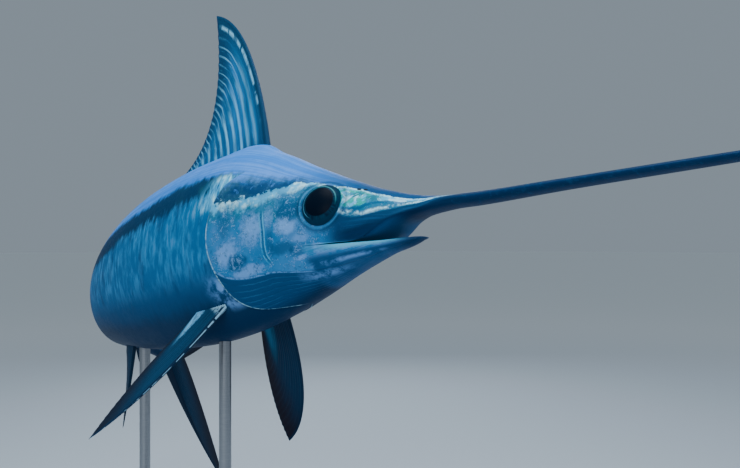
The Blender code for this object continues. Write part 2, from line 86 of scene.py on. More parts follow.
# The spine, with the directions forward, left and up along it
def spinePath():
    along = np.arange(-0.50, 1.40, 0.001)
    noseUp, roll = radians(pose["noseUp"]), radians(pose["roll"])
    nose = np.array([np.cos(noseUp), 0.0, np.sin(noseUp)])
    level = np.array([0.0, 1.0, 0.0])
    left = level * np.cos(roll) + np.cross(nose, level) * np.sin(roll)
    up = np.cross(nose, left)
    t = np.clip(along - pose["bendFrom"], 0.0, pose["bendTo"] - pose["bendFrom"])
    turn = (pose["turnLeft"][0] * t + pose["turnLeft"][1] * t * t)[:, None]
    dip = (pose["sink"] * t)[:, None]
    forward = np.cos(turn) * np.cos(dip) * nose - np.sin(turn) * np.cos(dip) * left + np.sin(dip) * up
    side = np.cos(turn) * left + np.sin(turn) * nose
    steps = np.diff(along, prepend=along[0])[:, None]
    path = -np.cumsum(forward * steps, axis=0)
    path = path - path[int(np.argmin(np.abs(along)))]
    return along, path, forward, side, np.cross(forward, side)


spineAlong, spinePoints, spineForward, spineLeft, spineUp = spinePath()


def onSpine(rows, at):
    return np.stack([np.interp(at, spineAlong, rows[:, axis]) for axis in range(3)], axis=-1)


def inPlace(at, left, up):      # bent with the spine
    left, up = np.asarray(left, float)[..., None], np.asarray(up, float)[..., None]
    point = onSpine(spinePoints, at) + onSpine(spineLeft, at) * left + onSpine(spineUp, at) * up
    return point * fishLength + np.array(pose["jawTip"])


def besidePlace(at, back, left, up):      # in the straight frame of one place on the spine
    back, left, up = (np.asarray(v, float)[..., None] for v in (back, left, up))
    point = onSpine(spinePoints, at) - onSpine(spineForward, at) * back
    point = point + onSpine(spineLeft, at) * left + onSpine(spineUp, at) * up
    return point * fishLength + np.array(pose["jawTip"])


# Lines of the body: share along, top, bottom, half width
bodyLines = (
    (-0.450, 0.0090, -0.0072, 0.0022), (-0.430, 0.0100, -0.0062, 0.0058),
    (-0.300, 0.0119, -0.0041, 0.0105), (-0.150, 0.0131, -0.0030, 0.0132),
    (-0.060, 0.0142, -0.0014, 0.0152), (-0.030, 0.0155, -0.0010, 0.0164),
    (0.000, 0.0196, 0.0225, 0.0185), (0.050, 0.0330, 0.0370, 0.0325),
    (0.100, 0.0520, 0.0545, 0.0453), (0.150, 0.0735, 0.0755, 0.0560),
    (0.200, 0.0965, 0.0935, 0.0640), (0.250, 0.1105, 0.1070, 0.0690),
    (0.300, 0.1115, 0.1150, 0.0715), (0.400, 0.1060, 0.1175, 0.0730),
    (0.500, 0.0970, 0.1080, 0.0705), (0.600, 0.0840, 0.0880, 0.0640),
    (0.700, 0.0670, 0.0670, 0.0510), (0.800, 0.0470, 0.0470, 0.0350),
    (0.880, 0.0300, 0.0310, 0.0230), (0.985, 0.0215, 0.0215, 0.0135),
)
# The mouth: share along, heights of the upper lip, the palate and the lower lip
mouthLines = (
    (-0.450, 0.0081, 0.0072, 0.0), (-0.300, 0.0080, 0.0041, 0.0), (-0.150, 0.0080, 0.0030, 0.0),
    (-0.060, 0.0075, 0.0012, -0.0200), (-0.030, 0.0067, 0.0014, -0.0215),
    (-0.008, 0.0050, 0.0002, -0.0219), (0.011, 0.0020, -0.0022, -0.0222),
    (0.029, -0.0035, -0.0080, -0.0230), (0.040, -0.0100, -0.0145, -0.0234),
    (0.052, -0.0172, -0.0182, -0.0236), (0.062, -0.0208, -0.0196, -0.0237),
    (0.090, -0.0226, -0.0197, -0.0240), (0.112, -0.0234, -0.0196, -0.0239),
    (0.130, -0.0240, -0.0195, -0.0245),
)
# Free edge of the gill covers: angle from the back in degrees, share along
gillLine = ((0, 0.200), (40, 0.205), (60, 0.234), (90, 0.255), (120, 0.243), (150, 0.210),
            (166, 0.176), (180, 0.158))

topLine, bottomLine, halfLine = (curveThrough(bodyLines, column) for column in (1, 2, 3))
upperLipLine, palateLine, lowerLipLine = (curveThrough(mouthLines, column) for column in (1, 2, 3))
gillEdgeAt = curveThrough(gillLine)


ridges = {      # lengths as shares, the width of the crest as an angle in degrees
    "keelAt": 0.935, "keelLong": 0.055, "keelTall": 0.13, "keelOut": 0.0125,
    "crestAt": 0.231, "crestAhead": 0.017, "crestBehind": 0.060, "crestRise": 0.0075, "crestWide": 12,
}


def bodySection(at, angle, grow=0.0):      # the skin at an angle from the back, as (out, up)
    top, bottom, half = topLine(at) + grow, bottomLine(at) + grow, halfLine(at) + grow
    keel = ridges["keelOut"] * np.exp(-((at - ridges["keelAt"]) / ridges["keelLong"]) ** 4)
    keel = keel * np.exp(-(np.cos(angle) / ridges["keelTall"]) ** 2)
    behind = at - ridges["crestAt"]      # crest under the front of the dorsal fin
    reach = np.where(behind < 0, ridges["crestAhead"], ridges["crestBehind"])
    crest = ridges["crestRise"] * np.exp(-(behind / reach) ** 2 - (angle / radians(ridges["crestWide"])) ** 2)
    return (half + keel) * np.sin(angle), (top - bottom) / 2 + (top + bottom) / 2 * np.cos(angle) + crest


def angleAtHeight(at, height):
    top, bottom = topLine(at), bottomLine(at)
    return np.arccos(np.clip((height - (top - bottom) / 2) / ((top + bottom) / 2), -1.0, 1.0))


def gridMesh(name, points, mapName, mapped):      # a grid whose points go where they are told
    deselectAll()
    rows, columns = points.shape[:2]
    bpy.ops.mesh.primitive_grid_add(x_subdivisions=columns - 1, y_subdivisions=rows - 1, size=2.0)
    piece = bpy.context.object
    piece.name = name
    flat = np.empty(len(piece.data.vertices) * 3)
    piece.data.vertices.foreach_get("co", flat)
    flat = flat.reshape(-1, 3)
    column = np.rint((flat[:, 0] + 1) / 2 * (columns - 1)).astype(int)
    row = np.rint((flat[:, 1] + 1) / 2 * (rows - 1)).astype(int)
    piece.data.vertices.foreach_set("co", points[row, column].ravel())
    corners = np.empty(len(piece.data.loops), int)
    piece.data.loops.foreach_get("vertex_index", corners)
    while piece.data.uv_layers:
        piece.data.uv_layers.remove(piece.data.uv_layers[0])
    layer = piece.data.uv_layers.new(name=mapName)
    layer.data.foreach_set("uv", mapped[row, column][corners].ravel())
    return piece, row, column


def closeUp(reach=0.00002, smoothAngle=60):      # welds the active piece and turns its faces out
    bpy.ops.object.mode_set(mode="EDIT")
    bpy.ops.mesh.select_all(action="SELECT")
    bpy.ops.mesh.remove_doubles(threshold=reach)
    bpy.ops.mesh.dissolve_degenerate(threshold=1e-6)
    bpy.ops.mesh.select_all(action="SELECT")
    bpy.ops.mesh.normals_make_consistent(inside=False)
    bpy.ops.object.mode_set(mode="OBJECT")
    bpy.ops.object.shade_smooth_by_angle(angle=radians(smoothAngle))


# The skin: rings from the bill's tip to the tail, opened along the mouth. Lengths are shares
skin = {
    "inset": 0.0005,                      # how far it lies inside the solids
    "steps": 64,                          # from the back to the belly
    "lipStep": 30, "palateStep": 38, "floorStep": 44,
    "lipSwell": 0.0011, "lipWide": 0.075,
    "lipGrows": (-0.02, 0.02), "lipFades": (0.100, 0.125),
    "lipGap": 0.006,                      # least angle between the lips
    "floorDip": 0.0030,
    "mouthDeepens": (0.0, 0.03),
    "mouthNarrows": 0.084, "mouthRear": 0.1275,
    "gillLift": 0.0033, "gillGroove": 0.0016,
    "gillFrom": (radians(44), radians(64)),      # angles where the flap starts to stand up
    "gillFades": (2.3, 2.9), "gillFade": 0.85,   # it lies flatter toward the belly
    "gillRise": (0, 0, 0, 0.05, 0.15, 0.35, 0.60, 0.85, 1.0),
    "behindFlap": 0.0065,
    "neck": 0.44, "tail": 0.985,
}


def skinRows():      # each row: front and rear stretch, share between them, and its part of the flap
    rows = [("straight", at) for at in -0.4505 + 0.0405 * np.linspace(0, 1, 14) ** 1.6]
    rows += [("straight", at) for at in np.linspace(-0.41, -0.02, 52)[1:]]
    rows += [("straight", at) for at in (-0.014, -0.008, -0.004, 0.0, 0.0012, 0.003, 0.006, 0.009)]
    rows += [("straight", at) for at in np.linspace(0.011, skin["mouthRear"], 66)]
    rows += [("cover", share) for share in np.linspace(0, 1, 52)[1:]]
    rows += [("flap", step) for step in range(6)]
    rows += [("trunk", share) for share in np.linspace(0, 1, 50)[1:] ** 1.15]
    rows += [("straight", at) for at in np.linspace(skin["neck"], skin["tail"], 96)[1:]]
    return rows


flapSteps = (      # behind the cover's edge: share along with and without a flap, rise, depth of groove
    (0.0007, 0.0007, 0.75, 0.0), (0.0004, 0.0014, 0.30, 0.2), (-0.0014, 0.0021, 0.05, 0.7),
    (-0.0012, 0.0028, 0.0, 1.0), (0.0016, 0.0040, 0.0, 0.8), (0.0048, 0.0060, 0.0, 0.2),
)


def lipAngles(at):      # upper and lower
    upper = float(angleAtHeight(at, upperLipLine(at)))
    lower = float(angleAtHeight(at, lowerLipLine(at))) if at > 0 else pi - 0.02
    return upper, max(lower, upper + skin["lipGap"])


def openMouth(at, angle, norm, lips, x, y):      # swells the lips of a ring and folds it in between them
    k = np.arange(len(angle))
    lip, palate, floor = (skin[key] for key in ("lipStep", "palateStep", "floorStep"))
    depth = 1 - float(easeBetween(at, skin["mouthNarrows"], skin["mouthRear"]))
    swell = skin["lipSwell"] * float(easeBetween(at, *skin["lipGrows"]))
    swell *= 1 - float(easeBetween(at, *skin["lipFades"]))
    for lipAngle, outside in zip(lips, (k <= lip, k >= floor)):
        roll = np.where(outside, np.exp(-((angle - lipAngle) / skin["lipWide"]) ** 2) * swell, 0.0)
        x, y = x + norm[0] * roll, y + norm[1] * roll
    # hidden: how deep inside the mouth a point lies, later used to paint shade there
    hidden = np.zeros(len(k))
    deepened = float(easeBetween(at, *skin["mouthDeepens"]))
    roof = slice(lip, palate + 1)
    t = pi / 2 * (k[roof] - lip) / (palate - lip)
    rise = float(palateLine(at)) - float(upperLipLine(at))
    x[roof] = x[roof] * (1 - depth) + x[lip] * np.cos(t) * depth
    y[roof] = y[roof] * (1 - depth) + (y[lip] + rise * np.sin(t)) * depth
    hidden[roof] = np.minimum(1.0, np.sin(t) * 2) * depth * deepened
    bed = slice(palate + 1, floor + 1)
    s = (k[bed] - palate - 1) / (floor - palate - 1)
    x[bed] = x[bed] * (1 - depth) + x[floor] * s * depth
    y[bed] = y[bed] * (1 - depth) + (y[floor] - skin["floorDip"] * deepened * (1 - s**2)) * depth
    hidden[bed] = np.minimum(1.0, (1 - s) * 3) * depth
    if at <= 0.0:      # ahead of the jaw
        x[palate + 1:], y[palate + 1:] = 0.0, float(lowerLipLine(0.0))
    return x, y, hidden, depth >= 1.0


def skinRing(kind, value):      # share along, out, up, degrees, how hidden, degrees below the lip, if open
    steps, lip, palate, floor = (skin[key] for key in ("steps", "lipStep", "palateStep", "floorStep"))
    rear = skin["mouthRear"]
    lips = lipAngles(min(value, rear) if kind == "straight" else rear)
    middle = sum(lips) / 2
    k = np.arange(steps + 1)
    bunched = np.interp(k, (0, lip, palate, palate + 1, floor, steps),
                        (0, lips[0], middle - 0.001, middle + 0.001, lips[1], pi))
    relaxed = 1.0      # the steps are bunched at the mouth and even behind it
    if kind == "straight":
        relaxed = float(value > rear)
    if kind == "cover":
        relaxed = float(easeBetween(value, 0.0, 0.9))
    angle = bunched * (1 - relaxed) + pi * k / steps * relaxed
    degrees = np.degrees(angle)
    edge = gillEdgeAt(degrees)
    flap = easeBetween(angle, *skin["gillFrom"])
    flap = flap * (1 - skin["gillFade"] * easeBetween(angle, *skin["gillFades"]))
    lift, groove = np.zeros(steps + 1), np.zeros(steps + 1)
    if kind == "straight":
        at = np.full(steps + 1, float(value))
    if kind == "cover":
        at = rear + (edge - rear) * value
        lift = flap * np.interp(value, np.linspace(0, 1, len(skin["gillRise"])), skin["gillRise"])
    if kind == "flap":
        under, plain, rise, sunk = flapSteps[value]
        at = edge + plain + (under - plain) * np.minimum(flap * 1.5, 1.0)
        lift, groove = flap * rise, flap * sunk
    if kind == "trunk":
        start = edge + skin["behindFlap"]
        at = start + (skin["neck"] - start) * value
    x, y = bodySection(at, angle, -skin["inset"])
    norm = np.stack([np.sin(angle) / halfLine(at), np.cos(angle) / ((topLine(at) + bottomLine(at)) / 2)])
    norm = norm / np.linalg.norm(norm, axis=0)
    push = skin["gillLift"] * lift - skin["gillGroove"] * groove
    x, y = x + norm[0] * push, y + norm[1] * push
    hidden, isOpen = np.zeros(steps + 1), False
    if kind == "straight" and value < rear:
        x, y, hidden, isOpen = openMouth(value, angle, norm, lips, x, y)
    return at, x, y, degrees, hidden, degrees - np.degrees(lips[1]), isOpen


eye = {"at": 0.103, "angle": radians(68.2), "radius": 0.0238, "depth": 0.0130, "setIn": 0.0062}
eyeRims = (      # rise, distance from the middle of the eye in metres, width
    (0.0013, 0.0440, 0.0042), (-0.0016, 0.0375, 0.0030), (0.0006, 0.0540, 0.0040),
)


def eyeAxes(side):      # middle, and the directions forward, down and outward
    def skinPoint(at, angle):
        x, y = bodySection(np.array(at), np.array(angle))
        return Vector(inPlace(np.array(at), side * x, y))
    centre = skinPoint(eye["at"], eye["angle"])
    forward = (skinPoint(eye["at"] - 0.01, eye["angle"]) - centre).normalized()
    down = (skinPoint(eye["at"], eye["angle"] + 0.02) - centre).normalized()
    outward = forward.cross(down).normalized() * side
    return centre, forward, outward.cross(forward).normalized(), outward


def makeSkin():
    rings = [skinRing(kind, value) for kind, value in skinRows()]
    along, out, up, turn, inside, belowLip, openRow = (np.array(rows) for rows in zip(*rings))
    out[0], up[0] = 0.0, float(palateLine(-0.45)) + 0.0008      # the bill's tip closes to a point
    steps, palate = skin["steps"], skin["palateStep"]
    # The tail end closes over two smaller rings
    for shrink in (0.6, 0.0):
        middle = (topLine(skin["tail"]) - bottomLine(skin["tail"])) / 2
        along = np.vstack([along, along[-1]])
        out = np.vstack([out, out[-1] * shrink])
        up = np.vstack([up, middle + (up[-1] - middle) * shrink])
        turn, inside, belowLip = (np.vstack([rows, rows[-1]]) for rows in (turn, inside, belowLip))
        openRow = np.append(openRow, False)
    columns = np.concatenate([np.arange(steps + 1), np.arange(steps)[::-1]])
    side = np.concatenate([-np.ones(steps + 1), np.ones(steps)])
    points = inPlace(along[:, columns], out[:, columns] * side, up[:, columns])
    fromEye = np.full(points.shape[:2], 0.5)      # half a metre where no eye is near
    for which in (-1, 1):
        centre, forward, down, outward = (np.array(v) for v in eyeAxes(which))
        away = points - centre
        distance = np.hypot(away @ forward, away @ down)
        near = (np.abs(away @ outward) < 0.05) & (side[None, :] == which)
        fromEye = np.where(near, distance, fromEye)
        rim = sum(rise * bump(distance, middle, width) for rise, middle, width in eyeRims)
        points += np.where(near, rim, 0.0)[..., None] * outward
    mapped = np.stack([along[:, columns], turn[:, columns] / 180.0], axis=-1)
    piece, row, column = gridMesh("bodySkin", points, "bodyMap", mapped)
    fields = {      # distances that the markings follow
        # insideMouth carries the painted shade and painted glow of the mouth's inside
        "insideMouth": inside[:, columns] ** 2,
        "belowLip": belowLip[:, columns],
        "behindGill": along[:, columns] - gillEdgeAt(turn[:, columns]),
        "fromEye": fromEye,
    }
    for key, values in fields.items():
        field = piece.data.attributes.new(key, "FLOAT", "POINT")
        field.data.foreach_set("value", values[row, column].ravel())
    # Faces that the open mouth and the bill ahead of the jaw don't have
    jawRow = int(np.argmin(np.abs(along[:, 0])))
    lastOpen = int(np.max(np.nonzero(openRow)[0]))
    step = np.minimum(column, 2 * steps - column)
    for face in piece.data.polygons:
        low = min(row[v] for v in face.vertices)
        first = min(step[v] for v in face.vertices)
        noJaw = low < jawRow and first >= palate
        face.select = noJaw or (first == palate and low < lastOpen)
    for part in (*piece.data.edges, *piece.data.vertices):
        part.select = False
    bpy.ops.object.mode_set(mode="EDIT")
    bpy.ops.mesh.select_mode(type="FACE")
    bpy.ops.mesh.delete(type="FACE")
    bpy.ops.mesh.select_mode(type="VERT")
    closeUp()
    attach(piece, "root")
    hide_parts("bill", "head", "lower_jaw", "torso_front", "torso_rear", "tail_stalk")
    return piece


bodySkin = makeSkin()
print("skin made:", len(bodySkin.data.polygons), "faces")


# Fins: rays from a root line to a margin, bowed forward, in one closed sheet with ridges
def bezier(start, control, end):
    def at(t):
        t = np.asarray(t, float)[..., None]
        return np.array(start) * (1 - t) ** 2 + np.array(control) * 2 * t * (1 - t) + np.array(end) * t * t
    return at


def straight(start, end):
    return bezier(start, (np.array(start) + np.array(end)) / 2, end)


finShape = {
    "thins": (1.15, 0.6),           # thickness at the front, and what it loses toward the rear
    "parting": (0.35, 0.75),        # where each ray parts in two
    "edge": (0.03, 0.012),          # how far the margin and the front are rounded
}


def finPoints(look, u, v):
    start, end = look["root"](u), look["margin"](u)
    ragged = look.get("ragged", 0.0) * np.sin(2 * pi * look["rays"] * u) * np.minimum(1, 8 * u)
    end = end + (end - start) * ragged[..., None]
    reach = end - start
    bow = look["bow"][1] * ((1 - u) if look.get("shared") else np.ones_like(u))
    sideways = np.stack([-reach[..., 1], reach[..., 0]], axis=-1)
    control = start + reach * look["bow"][0] + sideways * bow[..., None]
    v = v[..., None]
    return start * (1 - v) ** 2 + control * 2 * v * (1 - v) + end * v**2


def makeFin(name, look, sheet, node):
    columns, rows = look["rays"] * 6, look["rows"]
    u, v = np.meshgrid(np.linspace(0, 1, columns + 1), np.linspace(0, 1, rows + 1))
    rootHalf, tipHalf, fade = look["thick"]
    half = (rootHalf * (1 - v) ** fade + tipHalf) * (finShape["thins"][0] - finShape["thins"][1] * u)
    half = half + look.get("leadingHalf", 0.0) * (1 - u) * (1 - v)
    wave = 0.5 - 0.5 * np.cos(2 * pi * look["rays"] * u)
    split = 0.5 - 0.5 * np.cos(4 * pi * look["rays"] * u)
    part = easeBetween(v, *finShape["parting"])
    half = half * 0.85 + look["ridge"] * (wave**2 * (1 - part) + split * 0.6 * part) * (1 - 0.6 * v)
    marginEdge, frontEdge = finShape["edge"]
    rim = np.minimum(1, np.minimum((1 - v) / marginEdge, u / frontEdge))
    rim = rim if look.get("shared") else np.minimum(rim, (1 - u) / frontEdge)
    rim = np.where(v == 0, 0.0, rim)
    half = half * np.sqrt(np.clip(rim, 0.0, 1.0))
    flat = finPoints(look, u, v)
    near = sheet(flat[..., 0], flat[..., 1], half)
    far = sheet(flat[..., 0], flat[..., 1], -half)
    points = np.concatenate([near, far[::-1]], axis=0)      # over the margin and back to the root
    mapped = np.stack([u, v], axis=-1)
    mapped = np.concatenate([mapped, mapped[::-1]], axis=0)
    piece = gridMesh(name, points, "finMap", mapped)[0]
    closeUp()
    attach(piece, "root")
    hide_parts(node)
    return piece


dorsalLook = {
    "root": straight((0.226, 0.100), (0.391, 0.096)),
    "margin": bezier((0.326, 0.3128), (0.306, 0.150), (0.400, 0.1165)),
    "bow": (0.74, 0.22), "thick": (0.0024, 0.0005, 1.3), "rays": 22, "rows": 60, "ridge": 0.0009,
    "ragged": 0.008,
}
analLook = {
    "root": straight((0.590, 0.078), (0.665, 0.062)),
    "margin": bezier((0.702, 0.197), (0.640, 0.118), (0.678, 0.082)),
    "bow": (0.66, 0.15), "thick": (0.0018, 0.0005, 1.0), "rays": 16, "rows": 40, "ridge": 0.0007,
    "ragged": 0.006,
}
smallLook = {
    "root": straight((0.838, 0.0255), (0.872, 0.0180)),
    "margin": bezier((0.887, 0.0590), (0.880, 0.0450), (0.899, 0.0365)),
    "bow": (0.60, 0.12), "thick": (0.0013, 0.0004, 1.0), "rays": 6, "rows": 20, "ridge": 0.0005,
    "ragged": 0.01,
}
tailLook = {
    "root": straight((0.966, 0.0165), (0.966, 0.0)),
    "margin": bezier((1.272, 0.207), (1.112, 0.054), (1.035, 0.0)),
    "bow": (0.52, 0.06), "thick": (0.0083, 0.0005, 2.2), "rays": 22, "rows": 60, "ridge": 0.0007,
    "leadingHalf": 0.0022, "shared": True,
}


def makeMiddleFin(name, look, sign, node):
    def sheet(along, out, half):
        return inPlace(along, half, sign * out)
    return makeFin(name, look, sheet, node)


pectoralLook = {
    "right": {"root": (0.2445, radians(139)), "tip": (0.138, 0.090, 0.145), "chord": 0.054,
              "belly": (0.116, 0.090), "bow": (0.60, 0.12)},
    "left": {"root": (0.2540, radians(136)), "tip": (0.096, 0.090, 0.169), "chord": 0.050,
             "belly": (0.104, 0.125), "bow": (0.66, 0.25)},
    "blade": {"thick": (0.0026, 0.0005, 1.0), "rays": 18, "rows": 64, "ridge": 0.0005, "ragged": 0.006},
}


def makePectoral(name, key, node):
    look = {**pectoralLook[key], **pectoralLook["blade"]}
    side = 1 if key == "left" else -1
    along, angle = look["root"]
    out, up = (float(value) for value in bodySection(np.array(along), np.array(angle)))
    back, tipOut, tipDown = look["tip"]
    span = sqrt(tipOut**2 + tipDown**2)
    across, downward = tipOut / span, tipDown / span
    chord = look["chord"]

    def sheet(behind, reach, half):
        left = out + reach * across + half * downward
        height = up - reach * downward + half * across
        return besidePlace(along, behind, side * left, height)

    look["root"] = straight((0.0, -0.012), (chord, -0.012))
    look["margin"] = bezier((back, span), look["belly"], (chord * 1.12, 0.012))
    return makeFin(name, look, sheet, node)


dorsalFin = makeMiddleFin("dorsalFin", dorsalLook, 1, "dorsal_fin_first")
analFin = makeMiddleFin("analFin", analLook, -1, "anal_fin_first")
smallDorsal = makeMiddleFin("smallDorsal", smallLook, 1, "dorsal_fin_second")
smallAnal = makeMiddleFin("smallAnal", smallLook, -1, "anal_fin_second")
tailUpper = makeMiddleFin("tailUpper", tailLook, 1, "caudal_lobe_upper")
tailLower = makeMiddleFin("tailLower", tailLook, -1, "caudal_lobe_lower")
pectoralRight = makePectoral("pectoralRight", "right", "pectoral_fin_right")
pectoralLeft = makePectoral("pectoralLeft", "left", "pectoral_fin_left")
print("fins made")


# Eyes
def makeEye(name, side, node):
    deselectAll()
    bpy.ops.mesh.primitive_uv_sphere_add(segments=72, ring_count=48, radius=1.0)
    piece = bpy.context.object
    piece.name = name
    centre, forward, down, outward = eyeAxes(side)
    wide, deep = eye["radius"] * fishLength, eye["depth"] * fishLength
    layer = piece.data.uv_layers.active
    layer.name = "eyeMap"
    for loop, spot in zip(piece.data.loops, layer.data):
        point = piece.data.vertices[loop.vertex_index].co
        spot.uv = (point.x, side * point.y)      # forward and down on both sides
    turn = Matrix((forward * wide, down * wide, outward * deep)).transposed().to_4x4()
    turn.translation = centre - outward * eye["setIn"] * fishLength
    piece.data.transform(turn)
    closeUp()
    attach(piece, "root")
    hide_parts(node)
    return piece


eyeballRight = makeEye("eyeballRight", -1, "eye_right")
eyeballLeft = makeEye("eyeballLeft", 1, "eye_left")
print("eyes made")


# Shader graphs
class Signal:      # one socket, so that sums are written as sums
    def __init__(self, finish, socket):
        self.finish = finish
        self.socket = socket

    def math(self, operation, *values):
        return self.finish.node("ShaderNodeMath", {"operation": operation}, dict(enumerate(values)))

    def __add__(self, other):
        return self.math("ADD", self, other)

    def __radd__(self, other):
        return self.math("ADD", other, self)

    def __sub__(self, other):
        return self.math("SUBTRACT", self, other)

    def __rsub__(self, other):
        return self.math("SUBTRACT", other, self)

    def __mul__(self, other):
        return self.math("MULTIPLY", self, other)

    def __rmul__(self, other):
        return self.math("MULTIPLY", other, self)

    def __abs__(self):
        return self.math("ABSOLUTE", self)


def tone(red, green, blue, depth=1.3):      # a colour as it is seen, 0 to 255, deepened for studio light
    def linear(value):
        value /= 255
        return value / 12.92 if value < 0.04045 else ((value + 0.055) / 1.055) ** 2.4
    shades = [linear(value) for value in (red, green, blue)]
    grey = sum(shades) / 3
    return (*(min(1.0, max(0.0004, grey + (shade - grey) * depth)) for shade in shades), 1.0)


def isTone(value):      # three whole numbers
    return isinstance(value, tuple) and isinstance(value[0], int)


class Finish:      # one material, and the look that names its colours
    def __init__(self, name, look):
        self.look = {key: tone(*value) if isTone(value) else value for key, value in look.items()}
        self.material = bpy.data.materials.new(name)
        self.material.use_nodes = True
        self.tree = self.material.node_tree
        self.shader = self.tree.nodes["Principled BSDF"]

    def node(self, kind, settings=None, inputs=None, output=0):
        made = self.tree.nodes.new(kind)
        for key, value in (settings or {}).items():
            if key == "points":
                line = made.mapping.curves[0]
                for place in value[2:]:
                    line.points.new(*place)
                for point, place in zip(line.points, value):
                    point.location = place
                made.mapping.update()
            else:
                setattr(made, key, value)
        for key, value in (inputs or {}).items():
            self.feed(made.inputs[key], value)
        return Signal(self, made.outputs[output])

    def feed(self, socket, value):
        if isinstance(value, Signal):
            self.tree.links.new(value.socket, socket)
        else:
            socket.default_value = value

    def set(self, name, value):
        self.feed(self.shader.inputs[name], value)

    def objectPlace(self):
        return self.node("ShaderNodeTexCoord", {}, {}, "Object")

    def ownMap(self, name):      # the piece's own map, and its two directions
        uv = self.node("ShaderNodeUVMap", {"uv_map": name})
        first = self.node("ShaderNodeSeparateXYZ", {}, {0: uv})
        return uv, first, Signal(self, first.socket.node.outputs[1])

    def wear(self, *pieces):
        for piece in pieces:
            piece.data.materials.clear()
            piece.data.materials.append(self.material)


def blend(first, factor, second):      # colours are signals, values, or names in the look
    finish = factor.finish
    first, second = (finish.look[end] if isinstance(end, str) else end for end in (first, second))
    return finish.node("ShaderNodeMix", {"data_type": "RGBA"}, {0: factor, 6: first, 7: second}, 2)


def layered(colour, *layers):      # each layer: where it lies, and its colour
    for where, other in layers:
        colour = blend(colour, where, other)
    return colour


def above(value, low, high):      # 0 below low, 1 above high
    return value.finish.node("ShaderNodeMapRange", {"interpolation_type": "SMOOTHSTEP"},
                             {0: value, 1: low, 2: high})


def stroke(value, centre, width):      # 1 on a line, 0 beyond its width
    return above(abs(value - centre), width, 0.0)


def between(value, low, high, soft):
    return above(value, low - soft, low + soft) * (1.0 - above(value, high - soft, high + soft))


def zigzag(value, reach):
    return value.math("PINGPONG", value, reach)


def noise(vector, scale, detail=3.0, roughness=0.5, distortion=0.0):
    return vector.finish.node("ShaderNodeTexNoise", {}, {
        "Vector": vector, "Scale": scale, "Detail": detail, "Roughness": roughness, "Distortion": distortion})


def bumpNormal(height, distance, strength):
    return height.finish.node("ShaderNodeBump", {}, {
        "Strength": strength, "Distance": distance, "Height": height})


def lineOf(value, points, low, high):      # height of a line drawn over value, through points
    first, last = points[0][0], points[-1][0]
    spots = [((x - first) / (last - first), (y - low) / (high - low)) for x, y in points]
    share = value.finish.node("ShaderNodeMapRange", {}, {0: value, 1: first, 2: last})
    return value.finish.node("ShaderNodeFloatCurve", {"points": spots}, {"Value": share}) * (high - low) + low


# Markings of the skin, where along is the share from the jaw's tip and turn the angle from the back
skinLook = {
    "back": (78, 124, 194), "backLight": (112, 152, 216), "backFront": (12, 68, 108),
    "band": (3, 52, 80), "bandOlive": (58, 88, 98),
    "flank": (50, 100, 144), "flankLight": (96, 148, 194), "flankDark": (14, 70, 108),
    # the lower flank and belly colours are painted shade, darker toward the underside
    "lowFlank": (5, 70, 106), "belly": (3, 48, 76),
    "cheek": (66, 114, 160), "cheekLight": (128, 166, 216), "cheekDark": (22, 78, 114),
    "cheekGreen": (32, 102, 130), "stripe": (112, 178, 216), "stripeLight": (190, 234, 255),
    "green": (62, 150, 146), "lip": (140, 214, 255), "snoutSide": (4, 56, 88), "fleck": (168, 204, 246),
    "bill": (7, 46, 74), "billTop": (38, 92, 128), "billLow": (5, 50, 86),
    "mouth": (3, 28, 44), "palate": (12, 74, 114),
    "backToBand": ((0.10, 58), (0.20, 50), (0.26, 50), (0.32, 49), (0.41, 53), (0.56, 54), (0.80, 57),
                   (1.0, 62)),
    "bandToFlank": ((0.20, 52), (0.25, 56), (0.27, 62), (0.35, 67), (0.40, 69), (0.46, 70), (0.53, 74),
                    (0.80, 80), (1.0, 92)),
    "stripeTop": ((0.115, 40), (0.127, 43), (0.142, 47), (0.153, 54), (0.175, 62), (0.196, 68), (0.241, 72)),
    "stripeLow": ((0.115, 44), (0.130, 49), (0.142, 57), (0.158, 60), (0.175, 70), (0.196, 74),
                  (0.241, 76.5)),
    "patchTop": ((-0.035, 46), (-0.006, 41), (0.013, 41), (0.032, 38), (0.051, 36), (0.067, 33), (0.095, 40)),
    "patchLow": ((-0.035, 50), (0.002, 50), (0.020, 53), (0.039, 54), (0.052, 60), (0.061, 68), (0.095, 69)),
    "branch": ((-0.020, 52), (0.009, 58), (0.026, 67), (0.042, 74), (0.060, 80), (0.071, 79), (0.095, 70)),
    "snoutBand": ((-0.450, 52), (-0.050, 60), (-0.029, 67), (0.000, 72), (0.025, 84), (0.053, 95),
                  (0.090, 103)),
    "cheekFold": ((0.060, 158), (0.089, 151), (0.117, 142), (0.144, 132), (0.170, 125.5), (0.183, 125),
                  (0.211, 123), (0.235, 118), (0.255, 108)),
    "cheekClouds": (      # share along, angle, reach of each, and how pale, or how dark where below 0
        (0.190, 90, 0.014, 10, 0.75), (0.144, 90, 0.013, 7, 0.85), (0.226, 105, 0.014, 7, 0.85),
        (0.198, 119, 0.020, 4, 0.80), (0.166, 84, 0.006, 9, 0.45), (0.129, 103, 0.010, 4, 0.60),
        (0.212, 112, 0.011, 5, -0.95), (0.136, 74, 0.020, 10, -0.90), (0.146, 108, 0.016, 5, -0.70),
        (0.228, 87, 0.010, 8, -0.55), (0.110, 88, 0.012, 6, -0.55), (0.165, 100, 0.004, 14, -0.50),
        (0.128, 114, 0.016, 5, -0.65), (0.1285, 121, 0.007, 2.2, 1.0)),
    "innerCheek": ((70, 0.177), (82, 0.176), (94, 0.1735), (106, 0.1735), (112, 0.172), (120, 0.165)),
    "nostrils": ((0.0690, 34), (0.0625, 31)), "nostrilReach": (0.0028, 3.4),
    "noGlow": (0.0, 0.0, 0.0, 1.0), "mouthGlow": (0.0008, 0.0110, 0.0240, 1.0),
    "specular": 0.05,
}


